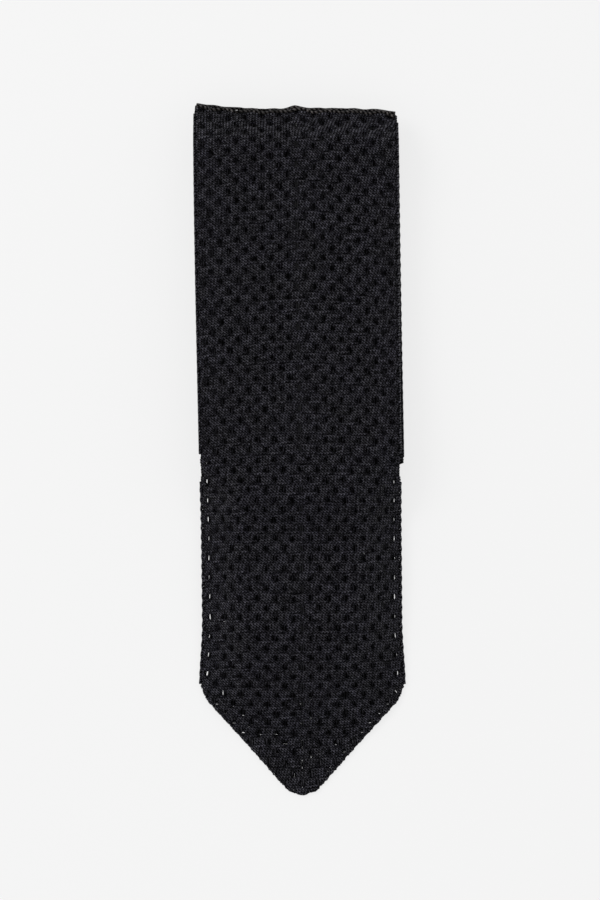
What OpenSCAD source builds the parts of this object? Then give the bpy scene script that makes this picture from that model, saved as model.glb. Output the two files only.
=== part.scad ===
// Knitted necktie, folded into a flat bundle with its wide blade on top.
// +Z is up, the point of the blade lies towards -Y and the top fold towards +Y.
// The origin is at the middle of the underside of the bundle. Millimetres.

/* [Front blade] */
// Length from the top fold to the point
visible_len = 242; // [225:1:300]
// Width at the top fold
fold_w = 71; // [55:0.5:90]
// Narrowest width, where the blade hangs over the neck layers
waist_w = 69; // [50:0.5:88]
// Width across the shoulders of the point
shoulder_w = 71.4; // [52:0.5:92]
// Length of the point before its apex is rounded
point_len = 41; // [30:1:60]
// Radius of the rounded apex
point_r = 8; // [1:0.5:12]
// Sideways lean of the blade between its two ends
blade_lean = 1.4; // [0:0.1:4]
// Length of the point that lies flat on the table
flat_tip_len = 17; // [5:1:30]
// Width of the hem turned under along the point
hem_w = 8; // [4:0.5:14]

/* [Layers under the blade] */
// Length of the wide layer under the front, fold to fold
under_len = 122; // [100:1:150]
// Sideways shift of the lower end of that layer
under_shift = 1.8; // [0:0.1:4]
// Width at the lower fold of the wide layer
under_w = 69; // [50:0.5:88]
// Width where the taper meets the neck layers
taper_w = 52; // [40:0.5:65]
// Length of each neck layer, fold to fold
neck_len = 168; // [155:1:205]
// Width of the neck
neck_w = 34; // [25:0.5:45]
// Distance of the inner folds from the top fold
fold_setback = 13; // [8:0.5:20]
// How far the two outer layers drop towards the top fold
crest_drop = 5.5; // [2:0.5:7]

/* [Tail] */
// Length of the tail from its fold to its shoulders
tail_len = 173; // [150:1:195]
// Width of the tail where it leaves its fold
tail_start_w = 37; // [28:0.5:45]
// Width across the shoulders of the tail
tail_w = 45; // [35:0.5:60]
// Length of the tail's point before it is rounded
tail_point_len = 25; // [15:1:35]

/* [Cloth] */
// Thickness of one knitted wall
knit_t = 0.65; // [0.4:0.05:0.8]
// Room between the two knitted walls
inner_gap = 0.4; // [0.35:0.05:0.8]
// Thickness of the folded knit along the side edges
edge_t = 1.2; // [0.8:0.1:2]
// Clearance between one layer and the next
layer_gap = 0.3; // [0.25:0.05:0.6]
// Extra room under the front blade for the keeper loop
back_room = 1.2; // [1.1:0.1:3]
// Width of the slit that the back seam closes
seam_w = 1; // [0.6:0.1:2]

/* [Folds and drape] */
// Length of the soft crease where the blade leaves the bundle
crease_len = 6; // [5:0.5:10]
// Length over which the blade comes down from the bundle
drape_len = 24; // [16:1:26]
// Flat faces along each curved stretch
drape_steps = 10; // [6:1:16]

/* [Back fittings] */
// Distance of the keeper loop from the point
keeper_from_point = 190; // [160:1:200]
// Length of the keeper loop across the blade
keeper_len = 40; // [30:1:50]
// Width of the keeper loop's band
keeper_w = 12; // [8:0.5:16]
// Thickness of the keeper loop's band
keeper_t = 0.6; // [0.4:0.05:0.6]
// Height of the gap that the keeper loop leaves
keeper_gap = 0.5; // [0.3:0.05:0.5]
// Length of each foot that is sewn to the blade
keeper_foot = 6; // [4:0.5:10]
// Width of the blank label
label_l = 32; // [20:1:45]
// Height of the blank label
label_w = 14; // [8:1:20]
// Width and height of the blank care tag
care_tag = [14, 18]; // [8:1:24]
// Thickness of the label and the care tag
label_t = 0.3; // [0.2:0.05:0.5]
// Distance between the fittings along the back
fitting_pitch = 30; // [24:1:36]
// Thickness of stitching thread laid in bars
thread_t = 0.5; // [0.3:0.05:0.8]
// Length of each bar tack
tack_l = 10; // [6:0.5:16]
// Width of each bar tack
tack_w = 1.6; // [1:0.1:3]
// Width of the tape that stays the neck
tape_w = 20; // [10:1:22]
// Thickness of the tape that stays the neck
tape_t = 0.25; // [0.15:0.05:0.3]

/* [Hidden] */
$fn = 48;
cut = 1;                                  // how far cutting shapes run past what they cut

tie_t = 2 * knit_t + inner_gap;           // one flattened tube of knit
pitch = tie_t + layer_gap;                // height of one layer in the stack
front_z = 7 * pitch + back_room;          // underside of the front blade on the bundle
over_neck_z = 5 * pitch;                  // underside of the blade on the neck layers
crest_y = visible_len / 2;                // outermost point of the top fold
tip_y = -visible_len / 2;                 // apex of the blade
shoulder_y = tip_y + point_len - rounding(shoulder_w, point_len, point_r);

top_r = (front_z - 6 * pitch + tie_t) / 2;  // outer radius of the top fold
fold_r = (pitch + tie_t) / 2;             // outer radius of every other fold
top_y = crest_y - top_r;                  // centre line of the top fold
under_y = top_y - under_len;              // centre line of the under layer's lower fold
inner_y = crest_y - fold_setback;         // centre line of the inner folds
neck_y = inner_y - neck_len;              // centre line of the neck's lower folds
tail_y = inner_y - tail_len;              // shoulders of the tail
crease_y = under_y - fold_r - crease_len / 2 + 1;

lean_0 = -(shoulder_w - fold_w) / 4;      // keeps the box centred on the origin
taper_shift = [under_shift, 0];

// Smooth step from 0 to 1.
function ease(u) = u <= 0 ? 0 : u >= 1 ? 1 : u * u * (3 - 2 * u);
function mix(a, b, u) = a + (b - a) * u;
function stretch(a, b) = [for (i = [0:drape_steps]) mix(a, b, i / drape_steps)];
// How far a round of radius r takes back the apex of a point.
function rounding(w, len, r) = r / sin(atan(w / 2 / len)) - r;

// A lay is a list of stations [y, underside z, centre x, width], from +Y to -Y.
function blade_z(y) =
    front_z
    - crest_drop * ease((y - inner_y) / (top_y - inner_y))
    - (front_z - over_neck_z) * ease((crease_y - crease_len / 2 - y) / drape_len)
    - over_neck_z * ease((neck_y - fold_r - y) / (neck_y - fold_r - tip_y - flat_tip_len));
function under_z(y) = 6 * pitch - crest_drop * ease((y - inner_y) / (top_y - inner_y));
function blade_x(y) = lean_0 + blade_lean * (ease((crest_y - y) / (crest_y - shoulder_y)) - 0.5);
function blade_w(y) = y > neck_y
    ? mix(waist_w, fold_w, ease((y - neck_y) / (crest_y - neck_y)))
    : mix(waist_w, shoulder_w, ease((neck_y - y) / (neck_y - shoulder_y)));
function blade_lay(ys) = [for (y = ys) [y, blade_z(y), blade_x(y), blade_w(y)]];

front_lay = blade_lay(concat(stretch(top_y, inner_y), [mix(inner_y, crease_y, 0.5), crease_y + crease_len / 2]));
end_lay = blade_lay(concat(
    stretch(crease_y - crease_len / 2, crease_y - crease_len / 2 - drape_len),
    stretch(neck_y - fold_r, tip_y + flat_tip_len), [tip_y - cut]));
under_lay = [for (y = concat(stretch(top_y, inner_y), [under_y]))
    let (u = (top_y - y) / (top_y - under_y))
    [y, under_z(y), mix(blade_x(top_y), under_shift, u), mix(blade_w(top_y), under_w, u)]];
taper_lay = [[inner_y, 5 * pitch, taper_shift[1], taper_w], [under_y, 5 * pitch, taper_shift[0], under_w]];
tail_lay = [[inner_y, 0, 0, tail_start_w], [tail_y, 0, 0, tail_w], [tail_y - tail_point_len - cut, 0, 0, tail_w]];
// The four neck layers, from the highest to the lowest.
neck_lays = [for (n = [4, 3, 2, 1]) [
    [inner_y, n * pitch, 0, n == 4 ? taper_w : n == 1 ? tail_start_w : neck_w],
    [neck_y, n * pitch, 0, neck_w]]];

// Plan outline of a lay, with both sides taken in by inset.
function plan(lay, inset = 0) = concat(
    [for (s = lay) [s[2] - s[3] / 2 + inset, s[0]]],
    [for (i = [len(lay) - 1:-1:0]) [lay[i][2] + lay[i][3] / 2 - inset, lay[i][0]]]);
// A lay of one constant width, run past both of its ends.
function band(lay, w) = let (a = lay[0], b = lay[len(lay) - 1]) concat(
    [[a[0] + cut, a[1], a[2], w]], [for (s = lay) [s[0], s[1], s[2], w]], [[b[0] - cut, b[1], b[2], w]]);
// The same lay run past both of its ends.
function longer(lay) = let (a = lay[0], b = lay[len(lay) - 1]) concat(
    [[a[0] + cut, a[1], a[2], a[3]]], lay, [[b[0] - cut, b[1], b[2], b[3]]]);

// The same lay run past its +Y end.
function from_above(lay) = concat([[lay[0][0] + cut, lay[0][1], lay[0][2], lay[0][3]]], lay);

// Cloth between two heights over a lay's underside.
module sheet(lay, lo, hi) {
    rotate([90, 0, 90])
        translate([0, 0, -shoulder_w])
            linear_extrude(2 * shoulder_w)
                polygon(concat(
                    [for (s = lay) [s[0], s[1] + lo]],
                    [for (i = [len(lay) - 1:-1:0]) [lay[i][0], lay[i][1] + hi]]));
}

// Cloth of a lay cut to a plan outline.
module cut_sheet(lay, lo, hi, outline) {
    intersection() {
        sheet(lay, lo, hi);
        translate([0, 0, -pitch])
            linear_extrude(front_z + 3 * pitch)
                polygon(outline);
    }
}

// One flattened tube of knit: two walls, folded side edges and a slit along its back.
module knit_tube(lay, back_up = false) {
    back = back_up ? knit_t + inner_gap : 0;
    difference() {
        cut_sheet(lay, 0, tie_t, plan(lay));
        cut_sheet(longer(lay), knit_t, knit_t + inner_gap, plan(longer(lay), edge_t));
        cut_sheet(longer(lay), back - (back_up ? 0 : cut), back + knit_t + (back_up ? cut : 0),
            plan(band(lay, seam_w)));
    }
}

// The thread that closes the slit along the back of a tube.
module back_seam(lay, back_up = false) {
    back = back_up ? knit_t + inner_gap : 0;
    cut_sheet(lay, back, back + knit_t, plan(band(lay, seam_w)));
}

// Outline of a point: shoulders, straight sides and a rounded apex.
function point_outline(y, x, w, len, r) =
    let (a = atan(w / 2 / len), round_y = y - len + r / sin(a))
    concat([[x + w / 2, y]], [for (i = [0:12]) let (t = mix(-a, a - 180, i / 12)) [x + r * cos(t), round_y + r * sin(t)]],
        [[x - w / 2, y]]);
// The same outline without its hem.
function hemmed_outline(y, x, w, len, hem) =
    let (a = atan(w / 2 / len))
    [[x + w / 2 - hem / cos(a), y + cut], [x, y - len + hem / sin(a)], [x - w / 2 + hem / cos(a), y + cut]];

// Tube that ends in a point, with its back wall left out where the hem lies.
module pointed_tube(lay, y, x, w, len, back_up = false) {
    body = [for (s = lay) if (s[0] > y + edge_t) s];
    end = [y, 0, x, w];
    inner_end = [y + edge_t, 0, x, w];    // a closed wall stands between the hollow and the hem
    back = back_up ? knit_t + inner_gap : 0;
    difference() {
        union() {
            cut_sheet(lay, 0, tie_t, plan(concat(body, [end])));
            cut_sheet(lay, 0, tie_t, point_outline(y, x, w, len, point_r));
        }
        cut_sheet(longer(lay), knit_t, knit_t + inner_gap, plan(concat(from_above(body), [inner_end]), edge_t));
        cut_sheet(longer(lay), back - (back_up ? 0 : cut), back + knit_t + (back_up ? cut : 0),
            plan([for (s = concat(from_above(body), [inner_end])) [s[0], s[1], s[2], seam_w]]));
        point_hem(lay, y, x, w, len, back_up, cut);
    }
}

// Hem turned under along both sides of a point. Past is how far a cutting copy runs out.
module point_hem(lay, y, x, w, len, back_up = false, past = 0) {
    back = back_up ? knit_t + inner_gap : 0;
    difference() {
        cut_sheet(lay, back - (back_up ? 0 : past), back + knit_t + (back_up ? past : 0),
            past == 0 ? point_outline(y, x, w, len, point_r)
                : [for (c = [[1, 0], [1, -1], [-1, -1], [-1, 0]]) [x + c[0] * (w / 2 + past), y + c[1] * (len + past)]]);
        translate([0, 0, -2 * pitch])
            linear_extrude(front_z + 4 * pitch)
                polygon(hemmed_outline(y, x, w, len, hem_w));
    }
}

// Half-round fold that joins a layer to the one above it.
module fold(y, z, r, x, w, towards) {
    translate([x - w / 2, y, z + r])
        rotate([90, 0, 90])
            linear_extrude(w)
                intersection() {
                    difference() {
                        circle(r);
                        circle(r - tie_t);
                    }
                    translate([towards > 0 ? 0 : -2 * r, -2 * r])
                        square([2 * r, 4 * r]);
                }
}

module blade_end_knit() {
    color("#212026")
        pointed_tube(end_lay, shoulder_y, blade_x(shoulder_y), shoulder_w, point_len);
}
module front_blade_knit() { color("#212026") knit_tube(front_lay); }
module under_blade_knit() { color("#212026") knit_tube(under_lay, true); }
module taper_knit() { color("#212026") knit_tube(taper_lay); }
module neck_knit(n) { color("#212026") knit_tube(neck_lays[n - 1], n % 2 == 1); }
// The second neck layer also takes the groove of the joining seam.
module joined_neck_knit() {
    color("#212026")
        difference() {
            knit_tube(neck_lays[1]);
            joining_band(cut);
        }
}
module tail_knit() {
    color("#212026")
        pointed_tube(tail_lay, tail_y, 0, tail_w, tail_point_len, true);
}

module blade_end_seam() {
    closed_y = shoulder_y + edge_t;
    color("#141417")
        cut_sheet(end_lay, 0, knit_t, plan(concat(
            [for (s = end_lay) if (s[0] > closed_y) [s[0], s[1], s[2], seam_w]],
            [[closed_y, 0, blade_x(shoulder_y), seam_w]])));
}
module front_blade_seam() { color("#141417") back_seam(front_lay); }
module under_blade_seam() { color("#141417") back_seam(under_lay, true); }
module taper_seam() { color("#141417") back_seam(taper_lay); }
module neck_seam(n) { color("#141417") back_seam(neck_lays[n - 1], n % 2 == 1); }
module tail_seam() {
    color("#141417")
        cut_sheet(tail_lay, knit_t + inner_gap, tie_t,
            plan([[inner_y, 0, 0, seam_w], [tail_y + edge_t, 0, 0, seam_w]]));
}

module blade_crease() {
    a = crease_y + crease_len / 2;
    b = crease_y - crease_len / 2;
    color("#212026")
        knit_tube(blade_lay([a, b]));
}
module top_fold() {
    color("#212026")
        fold(top_y, under_z(top_y), top_r, blade_x(top_y), blade_w(top_y), 1);
}
module under_fold() { color("#212026") fold(under_y, 5 * pitch, fold_r, under_shift, under_w, -1); }
module inner_fold(n) {
    color("#212026")
        fold(inner_y, (6 - 2 * n) * pitch, fold_r, 0, n == 1 ? taper_w : n == 2 ? neck_w : tail_start_w, 1);
}
module neck_fold(n) { color("#212026") fold(neck_y, (5 - 2 * n) * pitch, fold_r, 0, neck_w, -1); }

module blade_tip_hem() {
    color("#1c1b20")
        point_hem(end_lay, shoulder_y, blade_x(shoulder_y), shoulder_w, point_len);
}
module tail_tip_hem() {
    color("#1c1b20")
        point_hem(tail_lay, tail_y, 0, tail_w, tail_point_len, true);
}

// A thread bar across a lay, at y, from height lo to hi.
module tack(lay, y, x, lo, hi) {
    color("#141417")
        cut_sheet(lay, lo, hi,
            [for (c = [[-1, -1], [1, -1], [1, 1], [-1, 1]]) [x + c[0] * tack_l / 2, y + c[1] * tack_w / 2]]);
}
tack_y = shoulder_y + 2 * tack_w;         // just above the hem of the blade
module blade_bar_tack() { tack(end_lay, tack_y, blade_x(tack_y), -0.8 * layer_gap, 0); }
// Flat enough to lie in the gap under the neck.
module tail_bar_tack() { tack(tail_lay, tail_y + 2 * tack_w, 0, tie_t, tie_t + 0.8 * layer_gap); }

// Far enough above the lower fold for the label and the care tag to lie under the front blade too.
keeper_y = max(tip_y + keeper_from_point, under_y + 72);
keeper_h = keeper_t + keeper_gap;
module keeper_loop() {
    color("#212026")
        translate([blade_x(keeper_y) - keeper_len / 2, keeper_y - keeper_w / 2, front_z - keeper_h])
            difference() {
                cube([keeper_len, keeper_w, keeper_h]);
                translate([keeper_foot, -cut, keeper_t])
                    cube([keeper_len - 2 * keeper_foot, keeper_w + 2 * cut, keeper_h]);
            }
}

// Bars of thread down both short ends of a fitting of the given size and height.
module end_stitches(x, y, size, h) {
    color("#141417")
        for (side = [-1, 1])
            translate([x + side * (size[0] + thread_t) / 2, y, front_z - h / 2])
                cube([thread_t, size[1], h], center = true);
}
module keeper_stitches() { end_stitches(blade_x(keeper_y), keeper_y, [keeper_len, keeper_w], keeper_h); }

label_y = keeper_y - fitting_pitch;
module patch(y, size, shade) {
    color(shade)
        translate([blade_x(y), y, front_z - label_t / 2])
            cube([size[0], size[1], label_t], center = true);
}
module label() { patch(label_y, [label_l, label_w], "#26262b"); }
module label_stitches() { end_stitches(blade_x(label_y), label_y, [label_l, label_w], label_t); }
care_y = label_y - fitting_pitch;
module care_tag_patch() { patch(care_y, care_tag, "#d9d8d4"); }
module care_tag_stitches() { end_stitches(blade_x(care_y), care_y, care_tag, label_t); }

// Tape inside the second neck layer.
tape_room = (inner_gap - tape_t) / 2;
tape_end = 5;
module neck_stay_tape() {
    color("#1a1a1d")
        translate([-tape_w / 2, neck_y + tape_end, 3 * pitch + knit_t + tape_room])
            cube([tape_w, neck_len - 2 * tape_end, tape_t]);
}

// Slanted seam across the front of the second neck layer.
groove_t = knit_t / 2;
module joining_band(past = 0) {
    reach = neck_w / 2 + past;
    translate([0, (inner_y + neck_y) / 2, 3 * pitch + tie_t - groove_t])
        linear_extrude(groove_t + past)
            polygon([[-reach, -reach - seam_w], [reach, reach - seam_w], [reach, reach + seam_w], [-reach, seam_w - reach]]);
}
module neck_joining_seam() { color("#141417") joining_band(); }

blade_end_knit();
front_blade_knit();
under_blade_knit();
taper_knit();
neck_knit(1);  // neck_knit_1
joined_neck_knit();  // neck_knit_2
neck_knit(3);  // neck_knit_3
neck_knit(4);  // neck_knit_4
tail_knit();
blade_end_seam();
front_blade_seam();
under_blade_seam();
taper_seam();
neck_seam(1);  // neck_seam_1
neck_seam(2);  // neck_seam_2
neck_seam(3);  // neck_seam_3
neck_seam(4);  // neck_seam_4
tail_seam();
blade_crease();
top_fold();
under_fold();
inner_fold(1);  // inner_fold_1
inner_fold(2);  // inner_fold_2
inner_fold(3);  // inner_fold_3
neck_fold(1);  // neck_fold_1
neck_fold(2);  // neck_fold_2
blade_tip_hem();
tail_tip_hem();
blade_bar_tack();
tail_bar_tack();
keeper_loop();
keeper_stitches();
label();
label_stitches();
care_tag_patch();
care_tag_stitches();
neck_stay_tape();
neck_joining_seam();
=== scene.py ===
"""A knitted necktie folded into a flat bundle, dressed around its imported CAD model.

The knit is one long strip, from the point of the blade to the point of the tail. Every stitch is set out on
the flat strip and then laid on one guide sheet that follows the folded tie, so the knit runs on across folds
and side edges.
"""

import logging
import math
import sys
from dataclasses import dataclass, field
from enum import Enum

import bmesh
import bpy
import numpy as np
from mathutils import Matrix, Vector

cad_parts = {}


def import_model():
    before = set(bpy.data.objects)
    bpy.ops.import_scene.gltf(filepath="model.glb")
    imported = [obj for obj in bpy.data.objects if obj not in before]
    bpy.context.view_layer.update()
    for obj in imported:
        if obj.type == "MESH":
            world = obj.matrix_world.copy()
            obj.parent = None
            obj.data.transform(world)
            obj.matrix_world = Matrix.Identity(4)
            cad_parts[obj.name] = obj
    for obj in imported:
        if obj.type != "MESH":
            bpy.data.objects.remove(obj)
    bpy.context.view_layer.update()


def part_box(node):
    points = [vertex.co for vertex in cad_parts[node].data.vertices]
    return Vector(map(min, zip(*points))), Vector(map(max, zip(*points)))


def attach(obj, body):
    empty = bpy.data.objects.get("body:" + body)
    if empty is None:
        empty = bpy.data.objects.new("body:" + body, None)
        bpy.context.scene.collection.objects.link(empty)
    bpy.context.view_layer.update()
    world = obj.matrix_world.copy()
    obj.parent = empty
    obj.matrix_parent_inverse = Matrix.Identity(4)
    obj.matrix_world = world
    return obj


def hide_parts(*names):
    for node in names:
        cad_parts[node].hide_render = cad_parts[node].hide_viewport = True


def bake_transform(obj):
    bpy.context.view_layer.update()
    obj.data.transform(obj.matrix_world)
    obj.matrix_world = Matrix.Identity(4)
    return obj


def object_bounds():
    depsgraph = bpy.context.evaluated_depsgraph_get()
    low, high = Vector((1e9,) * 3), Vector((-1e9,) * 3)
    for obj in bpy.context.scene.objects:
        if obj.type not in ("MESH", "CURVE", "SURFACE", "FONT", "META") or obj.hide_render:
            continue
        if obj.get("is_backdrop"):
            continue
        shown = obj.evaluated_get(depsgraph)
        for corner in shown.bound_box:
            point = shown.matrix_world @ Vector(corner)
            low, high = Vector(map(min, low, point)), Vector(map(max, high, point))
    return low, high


log = logging.getLogger("necktie")
MM = 0.001
MAP_SCALE = 0.5  # guide coordinates per metre, so that the whole strip fits in the unit square
MAP_MIDDLE = 0.5
MAP_START = 0.1
GUIDE_MAP = "strip"
SEED = 7
ROW = 3.45 * MM  # one row of stitches, along the strip
LAP = 3.0 * MM  # how far the stitches of a point start before its shoulders
EDGE_REACH = 0.9 * MM  # how far the face's stitches reach past a turning line
CLOUD_MM = 9.0  # size of the slow changes of tone in a cloth
FLECK_MM = 1.1  # size of the lit and dull spots of a yarn


# ---------------------------------------------------------------- small helpers


def ease(u: np.ndarray) -> np.ndarray:
    """Smooth step from 0 to 1."""
    u = np.clip(u, 0.0, 1.0)
    return u * u * (3.0 - 2.0 * u)


def srgb(hex_colour: str) -> tuple[float, float, float, float]:
    """Turns an sRGB hex value to linear.

    Args:
        hex_colour: six hex digits with a leading hash.
    Returns:
        Linear red, green, blue and alpha.
    """
    parts = [int(hex_colour[i : i + 2], 16) / 255.0 for i in (1, 3, 5)]
    linear = [c / 12.92 if c <= 0.04045 else ((c + 0.055) / 1.055) ** 2.4 for c in parts]
    return (*linear, 1.0)


def add_node(tree: bpy.types.NodeTree, kind: str, sockets: dict | None = None, **settings) -> bpy.types.Node:
    """Adds one node with its settings and links.

    Args:
        tree: the tree to add to.
        kind: the node's bl_idname.
        sockets: input name or index to a constant, or to the socket that feeds it.
        **settings: the node's own properties.
    Returns:
        The new node.
    """
    node = tree.nodes.new(kind)
    for name, value in settings.items():
        setattr(node, name, value)
    for key, value in (sockets or {}).items():
        if isinstance(value, bpy.types.NodeSocket):
            tree.links.new(value, node.inputs[key])
        else:
            node.inputs[key].default_value = value
    return node


def maths(tree: bpy.types.NodeTree, operation: str, *values) -> bpy.types.NodeSocket:
    """Adds a maths node and gives its result."""
    return add_node(tree, "ShaderNodeMath", dict(enumerate(values)), operation=operation).outputs[0]


def ranged(tree: bpy.types.NodeTree, value, given: tuple, wanted: tuple = (0.0, 1.0)) -> bpy.types.NodeSocket:
    """Adds a node that turns one range of values to another, and gives its result."""
    ends = {"From Min": given[0], "From Max": given[1], "To Min": wanted[0], "To Max": wanted[1]}
    return add_node(tree, "ShaderNodeMapRange", {"Value": value, **ends}).outputs[0]


def new_object(name: str, mesh: bpy.types.Mesh) -> bpy.types.Object:
    """Makes an object from a mesh and links it to the scene."""
    obj = bpy.data.objects.new(name, mesh)
    bpy.context.scene.collection.objects.link(obj)
    return obj


def mesh_from(name: str, points: np.ndarray, faces: list | np.ndarray, smooth: bool = True) -> bpy.types.Mesh:
    """Makes a mesh from points and faces."""
    mesh = bpy.data.meshes.new(name)
    mesh.from_pydata([tuple(p) for p in points], [], [tuple(int(i) for i in f) for f in faces])
    mesh.polygons.foreach_set("use_smooth", [smooth] * len(mesh.polygons))
    mesh.update()
    return mesh


def face_outwards(mesh: bpy.types.Mesh) -> None:
    """Turns every face of a closed mesh outwards."""
    shape = bmesh.new()
    shape.from_mesh(mesh)
    bmesh.ops.recalc_face_normals(shape, faces=shape.faces)
    shape.to_mesh(mesh)
    shape.free()


def store(mesh: bpy.types.Mesh, name: str, kind: str, values: np.ndarray) -> None:
    """Stores one value for each point of a mesh."""
    layer = mesh.attributes.new(name, kind, "POINT")
    layer.data.foreach_set("vector" if kind == "FLOAT_VECTOR" else "value", np.ravel(values))


def bake(obj: bpy.types.Object, name: str) -> bpy.types.Object:
    """Turns an object with live modifiers into a plain mesh object, and removes the first one."""
    bpy.context.view_layer.update()
    mesh = bpy.data.meshes.new_from_object(obj.evaluated_get(bpy.context.evaluated_depsgraph_get()))
    bpy.data.objects.remove(obj)
    mesh.name = name
    return new_object(name, mesh)


# ---------------------------------------------------------------- finishes


@dataclass(frozen=True)
class Cloth:
    """One textile finish.

    Attributes:
        name: what the material is called.
        colour: its sRGB hex value.
        shade: a second, darker or lighter hex value that it varies to.
        roughness: how matt it is.
        sheen: weight of the soft glow that fibre ends give.
        grain_mm: size of the fibre grain, in millimetres.
        relief: strength of the grain's bump.
        twill: spacing of diagonal ribs in millimetres, or 0 where there are none.
        twist: length of one twist of the yarn in millimetres, along which highlights and shade are painted,
            or 0 where the yarn is too fine to show.
        gloss: level of the surface's own reflection.
    """

    name: str
    colour: str
    shade: str
    roughness: float
    sheen: float
    grain_mm: float
    relief: float
    twill: float = 0.0
    twist: float = 0.0
    gloss: float = 0.18

    def make(self) -> bpy.types.Material:
        """Builds the material's nodes."""
        material = bpy.data.materials.new(self.name)
        material.use_nodes = True
        tree = material.node_tree
        tree.nodes.clear()
        place = add_node(tree, "ShaderNodeTexCoord").outputs["Object"]
        grain = self._noise(tree, place, self.grain_mm, 2.0)
        cloud = self._noise(tree, place, CLOUD_MM, 3.0)
        spread = ranged(tree, maths(tree, "MULTIPLY", grain, cloud), (0.12, 0.42))
        tint = add_node(tree, "ShaderNodeMix", {"Factor": spread}, data_type="RGBA")
        tint.inputs["A"].default_value = srgb(self.shade)
        tint.inputs["B"].default_value = srgb(self.colour)
        height, colour, gloss = grain, tint.outputs["Result"], self.gloss
        if self.twist:
            height, colour, gloss = self._twist_and_painted_light(tree, place, height, colour)
        if self.twill:
            slant = (0.0, 0.0, math.radians(45))
            turned = add_node(tree, "ShaderNodeMapping", {"Vector": place, "Rotation": slant})
            ribs = add_node(
                tree,
                "ShaderNodeTexWave",
                {"Vector": turned.outputs[0], "Scale": 0.314 / (self.twill * MM), "Distortion": 0.4},
            )
            height = ribs.outputs["Fac"]
        bump = add_node(
            tree, "ShaderNodeBump", {"Height": height, "Strength": self.relief, "Distance": 0.1 * MM}
        )
        shader = add_node(
            tree,
            "ShaderNodeBsdfPrincipled",
            {
                "Base Color": colour,
                "Normal": bump.outputs[0],
                "Roughness": self.roughness,
                "Sheen Weight": self.sheen,
                "Sheen Roughness": 0.5,
                "Specular IOR Level": gloss,
            },
        )
        add_node(tree, "ShaderNodeOutputMaterial", {"Surface": shader.outputs[0]})
        return material

    def _noise(self, tree: bpy.types.NodeTree, place, size_mm: float, detail: float) -> bpy.types.NodeSocket:
        """Adds noise of a size in millimetres."""
        sockets = {"Vector": place, "Scale": 1.0 / (size_mm * MM), "Detail": detail}
        return add_node(tree, "ShaderNodeTexNoise", sockets).outputs["Fac"]

    def _twist_and_painted_light(self, tree: bpy.types.NodeTree, place, height, colour) -> tuple:
        """Paints light and shade along the twist of a yarn: painted highlights on the crests, painted shade
        in the hollows, lit and dull flecks, and painted shade on the stitches at the back.

        Args:
            tree: the material's nodes.
            place: where on the object.
            height: relief of the fibre grain.
            colour: of the yarn before its twist.
        Returns:
            The height with the twist, and the colour and gloss with its painted highlights and painted shade.
        """
        yarn = add_node(tree, "ShaderNodeAttribute", attribute_name="yarn").outputs["Vector"]
        part = add_node(tree, "ShaderNodeSeparateXYZ", {0: yarn}).outputs
        turns = 2 * math.pi / (self.twist * MM)
        wave = maths(tree, "SINE", maths(tree, "MULTIPLY_ADD", part["X"], turns, part["Y"]))
        fleck = ranged(tree, self._noise(tree, place, FLECK_MM, 1.0), (0.35, 0.68), (0.32, 1.85))
        # Painted shade: the stitches at the back are darkened to 0.4 of their colour and gloss.
        inner = add_node(tree, "ShaderNodeAttribute", attribute_name="back").outputs["Fac"]
        # Painted highlight and painted shade: the twist's wave scales the yarn's colour from 0.1 to 2.8
        # times, and its gloss with it.
        light = ranged(tree, wave, (-0.5, 1.0), (0.1, 2.8))
        for factor in (ranged(tree, inner, (0.0, 1.0), (1.0, 0.4)), part["Z"], fleck):
            light = maths(tree, "MULTIPLY", light, factor)
        lit = add_node(tree, "ShaderNodeVectorMath", {0: colour, "Scale": light}, operation="SCALE")
        height = maths(tree, "MULTIPLY_ADD", wave, 0.8, height)
        return height, lit.outputs[0], maths(tree, "MULTIPLY", light, self.gloss)


class Finish(Enum):
    """Every finish on the tie, by what it is made of and how."""

    # Silk yarn, knitted: black with a blue cast, soft satin lustre along each strand, partly real gloss and
    # partly painted highlight from the twist.
    SILK_KNIT = Cloth("knitted silk yarn", "#13121b", "#0b0a10", 0.42, 0.02, 0.35, 0.9, twist=1.05)
    # The same yarn turned under and steamed at the points, a little flatter.
    HEM_KNIT = Cloth("pressed silk hem", "#14131a", "#0c0b10", 0.48, 0.02, 0.35, 0.8, twist=1.05)
    # Thicker yarn worked along the top fold, lighter and a little browner than the rest of the knit.
    CREST = Cloth("brownish crest yarn", "#1c1817", "#120f0e", 0.60, 0.03, 0.35, 0.8, twist=1.6)
    # Twisted silk sewing thread, a touch glossier than the knit.
    THREAD = Cloth("silk sewing thread", "#16161a", "#0d0d10", 0.40, 0.05, 0.15, 0.4)
    # Woven black satin of the blank label.
    LABEL = Cloth("black woven satin", "#26262c", "#1a1a1f", 0.32, 0.10, 0.20, 0.3)
    # Dark satin of the care tag, left blank.
    CARE_TAG = Cloth("charcoal polyester satin", "#2b2b30", "#222226", 0.35, 0.15, 0.20, 0.3)
    # Cotton tape inside the neck, woven in twill.
    TAPE = Cloth("black cotton twill tape", "#1b1b1d", "#111113", 0.80, 0.20, 0.30, 0.6, twill=0.8)


MATERIALS: dict[Finish, bpy.types.Material] = {}


def dress(obj: bpy.types.Object, finish: Finish) -> None:
    """Gives an object its finish."""
    obj.data.materials.clear()
    obj.data.materials.append(MATERIALS[finish])


# ---------------------------------------------------------------- the folded strip


class Level(Enum):
    """The layers in the order that the strip runs through them, with their CAD nodes."""

    FRONT = "front_blade_knit"
    UNDER = "under_blade_knit"
    TAPER = "taper_knit"
    NECK_1 = "neck_knit_1"
    NECK_2 = "neck_knit_2"
    NECK_3 = "neck_knit_3"
    NECK_4 = "neck_knit_4"
    TAIL = "tail_knit"


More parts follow.
